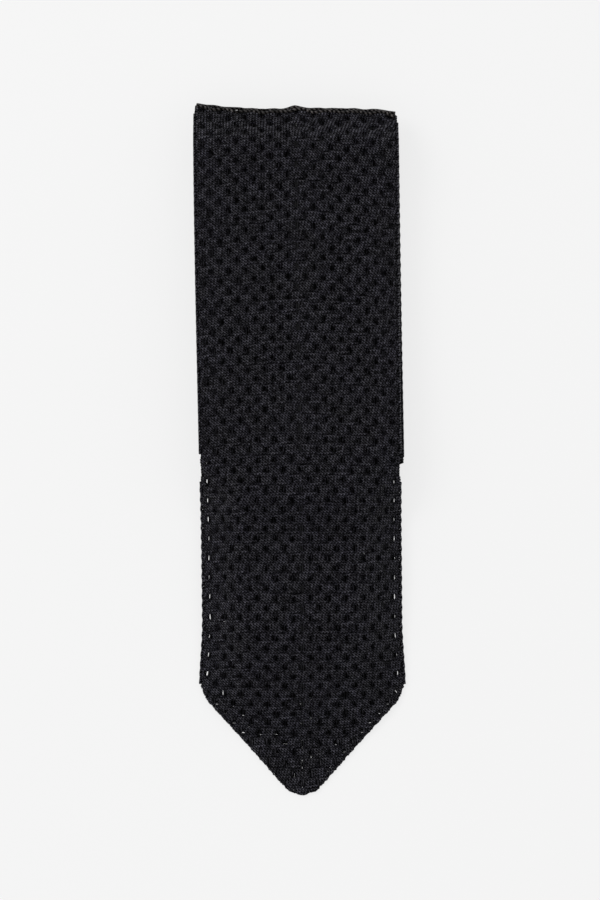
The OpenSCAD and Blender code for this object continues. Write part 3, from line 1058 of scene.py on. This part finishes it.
        # The back value also darkens these stitches in the material, as painted shade.
        store(mesh, "back", "FLOAT", joined["back"])
        obj = new_object(name, mesh)
        modifier = obj.modifiers.new("knit", "NODES")
        modifier.node_group = self.tree
        names = {i.name: i.identifier for i in self.tree.interface.items_tree if i.in_out == "INPUT"}
        modifier[names["Guide"]] = guide
        modifier[names["Stitches"]] = self.patterns[kind]
        modifier[names["Grade"]] = grade
        modifier[names["Seed"]] = SEED
        modifier[names["Map scale"]] = MAP_SCALE
        modifier[names["Finish"]] = MATERIALS[finish]
        baked = bake(obj, name)
        baked.data.materials.clear()
        baked.data.materials.append(MATERIALS[finish])
        baked.data.polygons.foreach_set("material_index", [0] * len(baked.data.polygons))
        log.info("%s: %d stitches, %d faces", name, len(flat), len(baked.data.polygons))
        return baked


def pick(stitches: dict[str, np.ndarray], keep: np.ndarray) -> dict[str, np.ndarray]:
    """The stitches for which keep is true."""
    return {key: value[keep] for key, value in stitches.items()}


@dataclass
class Tie:
    """The knitted tie itself: layers, folds and hemmed points."""

    strip: FoldedStrip
    knit: Knit
    points: dict[str, Point] = field(default_factory=dict)

    def build(self) -> None:
        """Makes every stretch of knit, and fastens the layers and points to their bodies."""
        marks = self.strip.marks
        guide = tube_guide(self.strip)
        face, back = self.knit.face(), self.knit.back()
        spare = 4.5 * MM
        blade = Point(self.strip, marks["shoulder"], -1, self.strip.shoulder_w, marks["shoulder"], 8.0 * MM)
        self.points = {"blade": blade}
        start = marks["tail_shoulder"]
        tail = Point(self.strip, start, 1, self.strip.tail_w, marks["end"] - start)
        self.points["tail"] = tail
        span = (marks["shoulder"], marks["crease_start"] - 3.0 * MM)
        self._point("blade_end_knit", "blade_tip_hem", "blade_end", blade, face, back, guide, span, 0)
        span = (marks["inner_3_end"] + spare, marks["tail_shoulder"])
        self._point("tail_knit", "tail_tip_hem", "tail", tail, face, back, guide, span, 1)
        folds = (
            ("blade_crease", "crease", "blade_end", "front_blade", 3.0 * MM),
            ("top_fold", "top", "front_blade", "under_blade", spare),
            ("under_fold", "under", "under_blade", "taper", spare),
            ("inner_fold_1", "inner_1", "taper", "neck_1", spare),
            ("neck_fold_1", "neck_1", "neck_1", "neck_2", spare),
            ("inner_fold_2", "inner_2", "neck_2", "neck_3", spare),
            ("neck_fold_2", "neck_2", "neck_3", "neck_4", spare),
            ("inner_fold_3", "inner_3", "neck_4", "tail", spare),
        )
        layers = [level.value for level in Level if level is not Level.TAIL]
        for n, (node, mark, upper, lower, past) in enumerate(folds):
            span = (marks[f"{mark}_start"] - past, marks[f"{mark}_end"] + past)
            cloth = self._stretch(node, face, back, guide, span, 0 if n < 2 else 1)
            for obj in cloth:
                self._join(obj, node, mark, upper, lower)
            self._sheet(cloth, node, span)
            if n < len(layers):
                following = folds[n + 1]
                span = (span[1], marks[f"{following[1]}_start"] - following[4])
                cloth = self._stretch(layers[n], face, back, guide, span, 0 if n < 2 else 1)
                for obj in cloth:
                    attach(obj, lower)
                self._sheet(cloth, layers[n], span)

    def _stretch(self, name: str, face: dict, back: dict, guide, span: tuple, grade: int) -> list:
        """Lays one stretch of the tube, its ground first and then its strands."""
        parts = []
        for part in (face, back):
            inside = (part["s"] >= span[0]) & (part["s"] < span[1])
            if part is face:
                inside &= np.abs(part["u"]) < part["edge"] + 0.35 * self.knit.half_wale
            parts.append(pick(part, inside))
        return [self.knit.lay(f"{name}_{kind}", parts, guide, grade, kind) for kind in ("ground", "stitch")]

    def _sheet(self, cloth: list[bpy.types.Object], node: str, span: tuple) -> None:
        """Hides the CAD node that a stretch of knit replaces, and works out the size it was cut to, which
        nothing keeps.
        """
        for obj in cloth:
            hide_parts(node)
        width = 4 * float(np.mean(self.strip.half_round(np.linspace(*span, 20))))
        courses = self.knit.row * (self.knit.rows() + 0.5)

    def _join(self, obj: bpy.types.Object, node: str, mark: str, upper: str, lower: str) -> None:
        """Works out the ends of a fold between the layers that it joins, and bakes its stitches where they
        lie.
        """
        strip = self.strip
        ends = []
        for s in (strip.marks[f"{mark}_start"], strip.marks[f"{mark}_end"]):
            point, _ = strip.place(np.zeros(1), np.array([s]), np.zeros(1))
            ends.append(tuple(float(v) for v in point[0]))
        ends[1] = (ends[0][0], *ends[1][1:])
        if mark != "crease":
            middle = (ends[0][2] + ends[1][2]) / 2
            half = (ends[0][2] - ends[1][2] - strip.thick) / 2
            ends = [(*ends[0][:2], middle + half), (*ends[0][:2], middle - half)]
        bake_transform(obj)
        log.info("%s bends from %s to %s", node, upper, lower)

    def _point(self, node: str, hem: str, body: str, point: Point, face, back, tube, span, grade: int):
        """Lays the stretch that ends in a point, and its hem.

        Args:
            node: the CAD node of the stretch.
            hem: the CAD node of its hem.
            body: the body that both move with.
            point: shape of the pointed end.
            face, back: every stitch of the strip's two walls.
            tube: guide for the stretch before the point.
            span: from the shoulders to the next fold.
            grade: of the stitches.
        """
        knit = self.knit
        guide = point.guide(f"{node}_guide")
        t = (face["s"] - point.shoulder) * point.way
        d, _, nt = point.outside(face["u"], t)
        in_edge = np.abs(face["u"]) < face["edge"] + 0.35 * knit.half_wale
        on_face = (t > -LAP) & (d < EDGE_REACH) & ((t > 0) | in_edge)
        turned = d - math.pi * self.strip.edge_r
        mitred = np.abs(face["u"]) - (d + turned) * math.cos(point.angle) > -LAP
        on_hem = (t > -1.0 * MM) & (d >= EDGE_REACH) & (turned < point.hem - 0.6 * MM) & (nt > 0)
        on_hem &= mitred | (turned < 1.5 * MM)
        run = (face["s"] >= span[0]) & (face["s"] < span[1]) & (t <= -LAP) & in_edge
        tb = (back["s"] - point.shoulder) * point.way
        inner = (point.apex - tb) * math.tan(point.angle) - point.hem / math.cos(point.angle)
        behind = (back["s"] >= min(span)) & (back["s"] < max(span)) & (tb < 0)
        under_hem = (tb >= 0) & (tb < point.apex - 7.0 * MM)
        under_hem &= back["a"] < np.maximum(inner + 4.0 * MM, 3.4 * MM)
        # The edge that turns under is pulled tight, with no holes through it.
        tight = on_hem | (on_face & (d > -3.5 * MM) & (t > 2.0 * MM))
        cloth, hems = [], []
        for kind in ("ground", "stitch"):
            backs = behind | under_hem if kind == "stitch" else behind
            parts = [pick(face, run), pick(back, backs)]
            run_part = knit.lay(f"{node}_run", parts, tube, grade, kind)
            tip_part = knit.lay(f"{node}_tip", [pick(face, on_face)], guide, grade, kind)
            cloth.append(join(f"{node}_{kind}", [run_part, tip_part]))
            if kind == "stitch":
                hems.append(knit.lay(f"{hem}_{kind}", [pick(face, on_hem)], guide, 1, kind, Finish.HEM_KNIT))
            else:
                outer_part = knit.lay(f"{hem}_turned", [pick(face, tight)], guide, 2, kind, Finish.HEM_KNIT)
                inner_part = knit.lay(f"{hem}_inner", [pick(back, under_hem)], tube, 1, kind, Finish.HEM_KNIT)
                hems.append(join(f"{hem}_{kind}", [outer_part, inner_part]))
            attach(cloth[-1], body)
            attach(hems[-1], body)
            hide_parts(hem)
        span = (min(span[0], point.shoulder), max(span[1], point.shoulder))
        self._sheet(cloth, node, span)


def join(name: str, parts: list[bpy.types.Object]) -> bpy.types.Object:
    """Joins mesh objects into one plain mesh object."""
    whole = bmesh.new()
    for part in parts:
        whole.from_mesh(part.data)
    mesh = bpy.data.meshes.new(name)
    whole.to_mesh(mesh)
    whole.free()
    for material in parts[0].data.materials:
        mesh.materials.append(material)
    for part in parts:
        bpy.data.objects.remove(part)
    mesh.polygons.foreach_set("use_smooth", [True] * len(mesh.polygons))
    return new_object(name, mesh)


# ---------------------------------------------------------------- thread, labels and tape


def tubes(name: str, paths: list, radius: float | list[float], sides: int = 5) -> bpy.types.Object:
    """Makes round yarns along paths.

    Args:
        name: the new object's name.
        paths: places along each yarn, in order.
        radius: of the yarn, or one for each path.
        sides: corners of its section.
    Returns:
        One object with every yarn, closed at both ends.
    """
    points, faces, yarn = [], [], []
    angle = np.linspace(0, 2 * math.pi, sides, endpoint=False)
    radii = radius if isinstance(radius, list) else [radius] * len(paths)
    for n, path in enumerate(paths):
        ahead = np.gradient(path, axis=0)
        ahead /= np.maximum(np.linalg.norm(ahead, axis=1, keepdims=True), 1e-12)
        up = np.where(np.abs(ahead[:, 2:3]) > 0.9, (1.0, 0.0, 0.0), (0.0, 0.0, 1.0))
        side = np.cross(ahead, up)
        side /= np.maximum(np.linalg.norm(side, axis=1, keepdims=True), 1e-12)
        top = np.cross(side, ahead)
        along = np.concatenate([[0.0], np.cumsum(np.linalg.norm(np.diff(path, axis=0), axis=1))])
        first = len(points)
        for i, place in enumerate(path):
            for t in angle:
                points.append(place + radii[n] * (math.cos(t) * side[i] + math.sin(t) * top[i]))
                yarn.append((along[i] + 0.7 * MM * n, t, 1.0))
        for i in range(len(path) - 1):
            for k in range(sides):
                j = (k + 1) % sides
                ring = first + i * sides
                faces.append((ring + k, ring + j, ring + sides + j, ring + sides + k))
        last = first + (len(path) - 1) * sides
        faces.append([first + k for k in range(sides)][::-1])
        faces.append([last + k for k in range(sides)])
    mesh = mesh_from(name, np.array(points), faces)
    face_outwards(mesh)
    store(mesh, "yarn", "FLOAT_VECTOR", np.array(yarn))
    return new_object(name, mesh)


@dataclass
class Trimmings:
    """Everything that is sewn to the knit: seams, tacks, keeper, label, care tag and tape."""

    strip: FoldedStrip
    points: dict[str, Point]
    thread: float = 0.16 * MM

    def __post_init__(self) -> None:
        """Finds the span of every layer along the strip."""
        marks = self.strip.marks
        self.out = self.strip.edge_r + self.strip.wall / 2
        self.spans = {
            "blade_end": (marks["shoulder"], marks["crease_start"]),
            "front_blade": (marks["crease_end"], marks["top_start"]),
            "under_blade": (marks["top_end"], marks["under_start"]),
            "taper": (marks["under_end"], marks["inner_1_start"]),
            "neck_1": (marks["inner_1_end"], marks["neck_1_start"]),
            "neck_2": (marks["neck_1_end"], marks["inner_2_start"]),
            "neck_3": (marks["inner_2_end"], marks["neck_2_start"]),
            "neck_4": (marks["neck_2_end"], marks["inner_3_start"]),
            "tail": (marks["inner_3_end"], marks["tail_shoulder"]),
        }

    def build(self) -> None:
        """Makes every trimming."""
        for body in self.spans:
            node = f"neck_seam_{body[-1]}" if body.startswith("neck") else f"{body}_seam"
            self._seam(node, body)
        self._tack("blade_bar_tack", "blade_end", (0.0, self.strip.marks["top_start"]))
        self._tack("tail_bar_tack", "tail", self.spans["tail"])
        self._hem_stitches("blade_tip_hem", "blade_end", self.points["blade"])
        self._hem_stitches("tail_tip_hem", "tail", self.points["tail"])
        self._keeper()
        self._label("label", "label_stitches", Finish.LABEL)
        self._label("care_tag_patch", "care_tag_stitches", Finish.CARE_TAG)
        self._tape()
        self._joining_seam()
        self._crest_yarn()
        for body in ("blade_end", "front_blade", "under_blade"):
            self._edge_loops(body)

    def _lay(self, a, s, off) -> np.ndarray:
        """Lays a few points of the flat strip."""
        a, s, off = (np.asarray(v, float) for v in np.broadcast_arrays(a, s, off))
        return self.strip.place(a, s, off)[0]

    def _fasten(self, obj, node: str, body: str, finish=Finish.THREAD) -> None:
        """Finishes a trimming and rides it on its body."""
        dress(obj, finish)
        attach(obj, body)
        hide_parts(node)

    def _middle(self, node: str) -> tuple[float, float, float]:
        """Middle of a CAD node."""
        low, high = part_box(node)
        return tuple((low[i] + high[i]) / 2 for i in range(3))

    def _seam(self, node: str, body: str) -> None:
        """Ladder stitches that close the back of one layer."""
        start, end = self.spans[body]
        for point in self.points.values():
            if abs(start - point.shoulder) < MM or abs(end - point.shoulder) < MM:
                past = point.way * (point.apex - point.hem / math.sin(point.angle))
                start, end = (start + past, end) if point.way < 0 else (start, end + past)
        along = np.arange(start, end, 1.2 * MM)
        paths = []
        for n, a in enumerate((-0.42 * MM, 0.42 * MM)):
            wave = 0.12 * MM * np.cos(np.arange(len(along)) * math.pi + n)
            paths.append(self._lay(a + wave, along, -self.strip.edge_r + 0.05 * MM))
        for s in np.arange(start + 1.5 * MM, end - 1.5 * MM, 1.8 * MM):
            v = np.linspace(-1, 1, 5)
            off = -self.out - 0.08 * MM + 0.45 * MM * np.abs(v) ** 2
            paths.append(self._lay(v * 1.3 * MM, s + v * 0.35 * MM, off))
        radii = [0.36 * MM] * 2 + [self.thread] * (len(paths) - 2)
        self._fasten(tubes(f"{node}_stitches", paths, radii), node, body)

    def _tack(self, node: str, body: str, span: tuple[float, float]) -> None:
        """A bar of close satin stitches across the end of a back seam."""
        y = self._middle(node)[1]
        low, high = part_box(node)
        paths = []
        for step in np.linspace(low[0] + self.thread, high[0] - self.thread, 30):
            v = np.linspace(-1, 1, 7)
            ys = y + v * (high[1] - low[1]) / 2 * 0.96
            a = step - (self.strip.lean_at(y) if body == "blade_end" else 0.0)
            s = np.array([self.strip.s_at(value, span) for value in ys])
            off = -self.out - 0.12 * MM + 0.3 * MM * v**4
            paths.append(self._lay(a, s, off))
        middle = self.strip.s_at(y, span)
        spine = [self._lay(v, middle, -self.out + 0.05 * MM) for v in (-4.6 * MM, 0.0, 4.6 * MM)]
        paths.append(np.array(spine))
        self._fasten(tubes(f"{node}_stitches", paths, self.thread), node, body)

    def _hem_stitches(self, node: str, body: str, point: Point) -> None:
        """Whip stitches that hold the turned edge of a point, in a V on the back."""
        ca, sa = math.cos(point.angle), math.sin(point.angle)
        paths = []
        for t in np.arange(1.5 * MM, point.apex - (point.hem + 1.0 * MM) / sa, 2.0 * MM):
            for side in (-1, 1):
                v = np.linspace(-1, 1, 5)
                inside = point.hem - 0.7 * MM - v * 0.8 * MM
                ts = t + v * 0.5 * MM
                a = (-inside + (point.apex - ts) * sa) / ca
                off = -self.out - 0.1 * MM + 0.4 * MM * v**2
                paths.append(self._lay(side * a, point.shoulder + point.way * ts, off))
        obj = tubes(f"{node}_thread", paths, self.thread)
        self._fasten(obj, node, body, Finish.THREAD)

    def _keeper(self) -> None:
        """Band of fine knit across the back of the blade, and the stitches at its ends."""
        low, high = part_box("keeper_loop")
        x = (low[0] + high[0]) / 2
        half = (high[0] - low[0]) / 2
        span = (0.0, self.strip.marks["top_start"])
        rows, ends = [], []
        for n, y in enumerate(np.arange(low[1] + 0.42 * MM, high[1] - 0.3 * MM, 0.8 * MM)):
            v = np.linspace(-1, 1, 41)
            wave = 0.09 * MM * np.cos(v * half / (0.9 * MM) * math.pi + n * math.pi)
            off = -self.out - 0.85 * MM + 0.55 * MM * ease((np.abs(v) - 0.86) / 0.13) + wave
            s = self.strip.s_at(y, span)
            rows.append(self._lay(x - self.strip.lean_at(y) + v * (half - 0.35 * MM), s, off))
            for side in (-1, 1):
                w = np.linspace(-1, 1, 6)
                a = x - self.strip.lean_at(y) + side * (half - 0.6 * MM + w * 0.9 * MM)
                off = -self.out - 0.75 * MM + 0.7 * MM * ease((w + 0.4) / 1.2)
                ends.append(self._lay(a, s + w * 0.3 * MM, off))
        band = tubes("keeper_loop_band", rows, 0.46 * MM, 6)
        self._fasten(band, "keeper_loop", "front_blade", Finish.HEM_KNIT)
        stitches = tubes("keeper_end_stitches", ends, self.thread)
        self._fasten(stitches, "keeper_stitches", "front_blade")

    def _patch(self, name: str, a: np.ndarray, s: np.ndarray, off: float, thick: float) -> bpy.types.Object:
        """Makes a thin closed patch that follows the strip."""
        grid_a, grid_s = np.meshgrid(a, s)
        rows, columns = grid_a.shape
        upper = self._lay(grid_a, grid_s, off + thick / 2).reshape(-1, 3)
        lower = self._lay(grid_a, grid_s, off - thick / 2).reshape(-1, 3)
        index = np.arange(rows * columns).reshape(rows, columns)
        quads = np.stack([index[:-1, :-1], index[:-1, 1:], index[1:, 1:], index[1:, :-1]], -1).reshape(-1, 4)
        count = rows * columns
        rim = np.concatenate([index[0, :], index[1:, -1], index[-1, -2::-1], index[-2:0:-1, 0]])
        after = np.roll(rim, -1)
        sides = np.stack([rim, rim + count, after + count, after], 1)
        faces = np.concatenate([quads, quads[:, ::-1] + count, sides])
        mesh = mesh_from(name, np.concatenate([upper, lower]), faces)
        face_outwards(mesh)
        return new_object(name, mesh)

    def _label(self, node: str, stitches: str, finish: Finish) -> None:
        """A blank woven label with whip stitches at both ends."""
        low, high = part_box(node)
        span = (0.0, self.strip.marks["top_start"])
        middle = (low[1] + high[1]) / 2
        lean = self.strip.lean_at(middle)
        a = np.linspace(low[0] - lean, high[0] - lean, 17)
        s = np.linspace(self.strip.s_at(low[1], span), self.strip.s_at(high[1], span), 9)
        off = -self.out - 0.16 * MM
        self._fasten(self._patch(f"{node}_satin", a, s, off, 0.22 * MM), node, "front_blade", finish)
        paths = []
        for place in np.arange(s[0] + 0.7 * MM, s[-1] - 0.4 * MM, 1.3 * MM):
            for side, end in ((-1, a[0]), (1, a[-1])):
                v = np.linspace(-1, 1, 6)
                height = off - 0.16 * MM + 0.22 * MM * ease((v + 0.1) / 1.0)
                paths.append(self._lay(end + side * v * 0.75 * MM, place + v * 0.3 * MM, height))
        obj = tubes(f"{stitches}_thread", paths, self.thread * 0.8)
        self._fasten(obj, stitches, "front_blade")

    def _tape(self) -> None:
        """Twill tape inside the neck, which keeps it from stretching."""
        low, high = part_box("neck_stay_tape")
        span = self.spans["neck_2"]
        s = np.linspace(self.strip.s_at(low[1], span), self.strip.s_at(high[1], span), 60)
        obj = self._patch("neck_stay_tape_twill", np.linspace(low[0], high[0], 9), s, 0.0, 0.22 * MM)
        self._fasten(obj, "neck_stay_tape", "neck_2", Finish.TAPE)

    def _joining_seam(self) -> None:
        """Slanted row of stitches that joins the two halves of the tie at the neck."""
        low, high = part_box("neck_joining_seam")
        span = self.spans["neck_2"]
        paths = []
        for u in np.linspace(0.03, 0.97, 24):
            x, y = (low[i] + (high[i] - low[i]) * u for i in (0, 1))
            v = np.linspace(-1, 1, 5)
            s = self.strip.s_at(y, span) + v * 1.0 * MM
            paths.append(self._lay(x - 0.3 * MM * v, s, self.out + 0.1 * MM - 0.35 * MM * v**2))
        obj = tubes("neck_joining_stitches", paths, self.thread)
        self._fasten(obj, "neck_joining_seam", "neck_2")

    def _edge_loops(self, body: str) -> None:
        """The turn of yarn at the end of every row, along both side edges of a wide layer."""
        start, end = self.spans[body]
        s = np.linspace(start + 3.0 * MM, end - 1.0 * MM, int((end - start) / (0.43 * MM)))
        paths = []
        for side in (-1, 1):
            loop = np.sin(math.pi * s / ROW + 0.3 * side) ** 2
            across = side * (self.strip.half_round(s) - 0.3 * MM)
            paths.append(self._lay(across, s, self.out - 1.2 * MM + 1.05 * MM * loop))
        obj = tubes(f"{body}_edge_loops", paths, 0.42 * MM, 6)
        self._fasten(obj, f"{body}_knit", body, Finish.SILK_KNIT)

    def _crest_yarn(self) -> None:
        """Yarns that run across the tie along the top fold."""
        marks = self.strip.marks
        start, end = marks["top_start"], marks["top_end"]
        paths = []
        for n, part in enumerate((0.2, 0.36, 0.52)):
            v = np.linspace(-1, 1, 90)
            s = start + (end - start) * part + 0.3 * MM * np.sin(v * 24 + 2.1 * n)
            a = v * (self.strip.blade_w / 2 - 0.7 * MM)
            off = self.out - 0.15 * MM + 0.12 * MM * np.sin(v * 31 + n)
            paths.append(self._lay(a, s, off))
        obj = tubes("top_fold_yarn", paths, 0.5 * MM, 6)
        dress(obj, Finish.CREST)
        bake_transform(obj)
        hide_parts("top_fold")


# ---------------------------------------------------------------- set


@dataclass
class Studio:
    """Camera straight above, pale floor and soft light from the upper left."""

    height: float = 1.5
    seen: float = 0.315
    aim: tuple[float, float] = (0.0002, 0.0)

    def camera(self) -> None:
        """Puts the camera over the middle of the tie."""
        data = bpy.data.cameras.new("camera")
        data.sensor_fit = "AUTO"
        data.sensor_width = 36.0
        data.lens = 36.0 * (self.height - 0.012) / self.seen
        data.clip_end = 20.0
        obj = bpy.data.objects.new("camera", data)
        obj.location = (*self.aim, self.height)
        bpy.context.scene.collection.objects.link(obj)
        bpy.context.scene.camera = obj

    def floor(self) -> None:
        """Lays a plain pale floor under the tie."""
        size = 4.0
        corners = [(x * size, y * size, 0.0) for x, y in ((-1, -1), (1, -1), (1, 1), (-1, 1))]
        mesh = mesh_from("floor", np.array(corners), [(0, 1, 2, 3)])
        obj = new_object("floor", mesh)
        material = bpy.data.materials.new("pale floor")
        material.use_nodes = True
        shader = material.node_tree.nodes["Principled BSDF"]
        shader.inputs["Base Color"].default_value = srgb("#707070")
        shader.inputs["Roughness"].default_value = 0.9
        shader.inputs["Specular IOR Level"].default_value = 0.0
        # The table is a lit pale panel, so shadows on it stay light.
        shader.inputs["Emission Color"].default_value = (1.0, 1.0, 1.0, 1.0)
        shader.inputs["Emission Strength"].default_value = 0.745
        mesh.materials.append(material)
        obj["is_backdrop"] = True

    def light(self) -> None:
        """Sets a wide soft lamp at the upper left and an even sky."""
        scene = bpy.context.scene
        scene.view_settings.view_transform = "Standard"
        world = bpy.data.worlds.new("sky")
        world.use_nodes = True
        world.node_tree.nodes["Background"].inputs["Color"].default_value = (1.0, 1.0, 1.0, 1.0)
        world.node_tree.nodes["Background"].inputs["Strength"].default_value = 0.84
        scene.world = world
        lamp = bpy.data.lights.new("key", "AREA")
        lamp.shape = "DISK"
        lamp.size = 0.7
        lamp.energy = 5.0
        obj = bpy.data.objects.new("key", lamp)
        obj.location = (-0.75, 0.55, 0.95)
        obj.rotation_euler = (-obj.location).to_track_quat("-Z", "Y").to_euler()
        scene.collection.objects.link(obj)


def main() -> None:
    """Builds the set and the tie, in order."""
    logging.basicConfig(level=logging.INFO, format="%(name)s: %(message)s", stream=sys.stdout)
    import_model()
    studio = Studio()
    studio.camera()
    studio.floor()
    studio.light()
    for finish in Finish:
        MATERIALS[finish] = finish.value.make()
    strip = FoldedStrip()
    log.info("the strip is %.3f m long", strip.marks["end"])
    tie = Tie(strip, Knit(strip))
    tie.build()
    Trimmings(strip, tie.points).build()
    for name in ("tube_guide", "blade_end_knit_guide", "tail_knit_guide"):
        bpy.data.objects.remove(bpy.data.objects[name])


if __name__ == "__main__":
    main()
